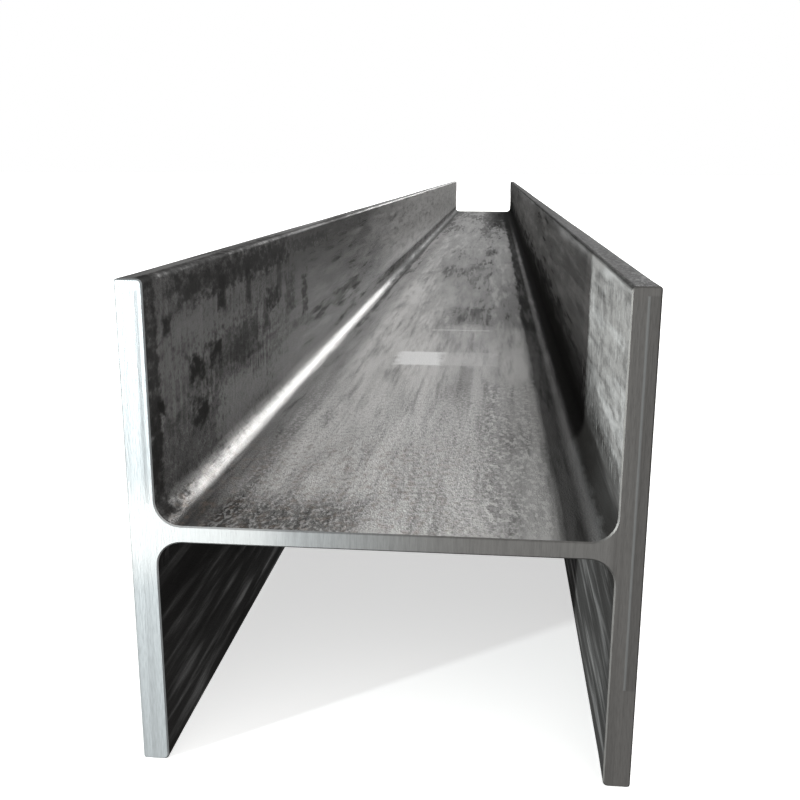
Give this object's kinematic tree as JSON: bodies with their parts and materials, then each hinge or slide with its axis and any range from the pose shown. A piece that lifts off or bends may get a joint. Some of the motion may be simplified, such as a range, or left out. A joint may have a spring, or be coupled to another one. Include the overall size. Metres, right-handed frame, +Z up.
{
  "type": "steel h-beam",
  "caption": "Hot-rolled steel wide-flange beam sawn square at both ends, lying with its web level on its flange tips.",
  "frame": {"origin": "on the ground under the middle of the beam, halfway along its length and between the two flanges", "axes": "+Y along the beam away from the sawn end that the picture shows, +X across the depth from the left flange to the right one, +Z up along the flanges"},
  "size_m": [0.2032, 3, 0.2036],
  "materials": {
    "rolled_steel": "hot-rolled mill scale with a thin dusting of rust, sawn bright grey at the ends"
  },
  "bodies": {
    "root": {"h_beam": "rolled_steel"}
  },
  "joints": []
}
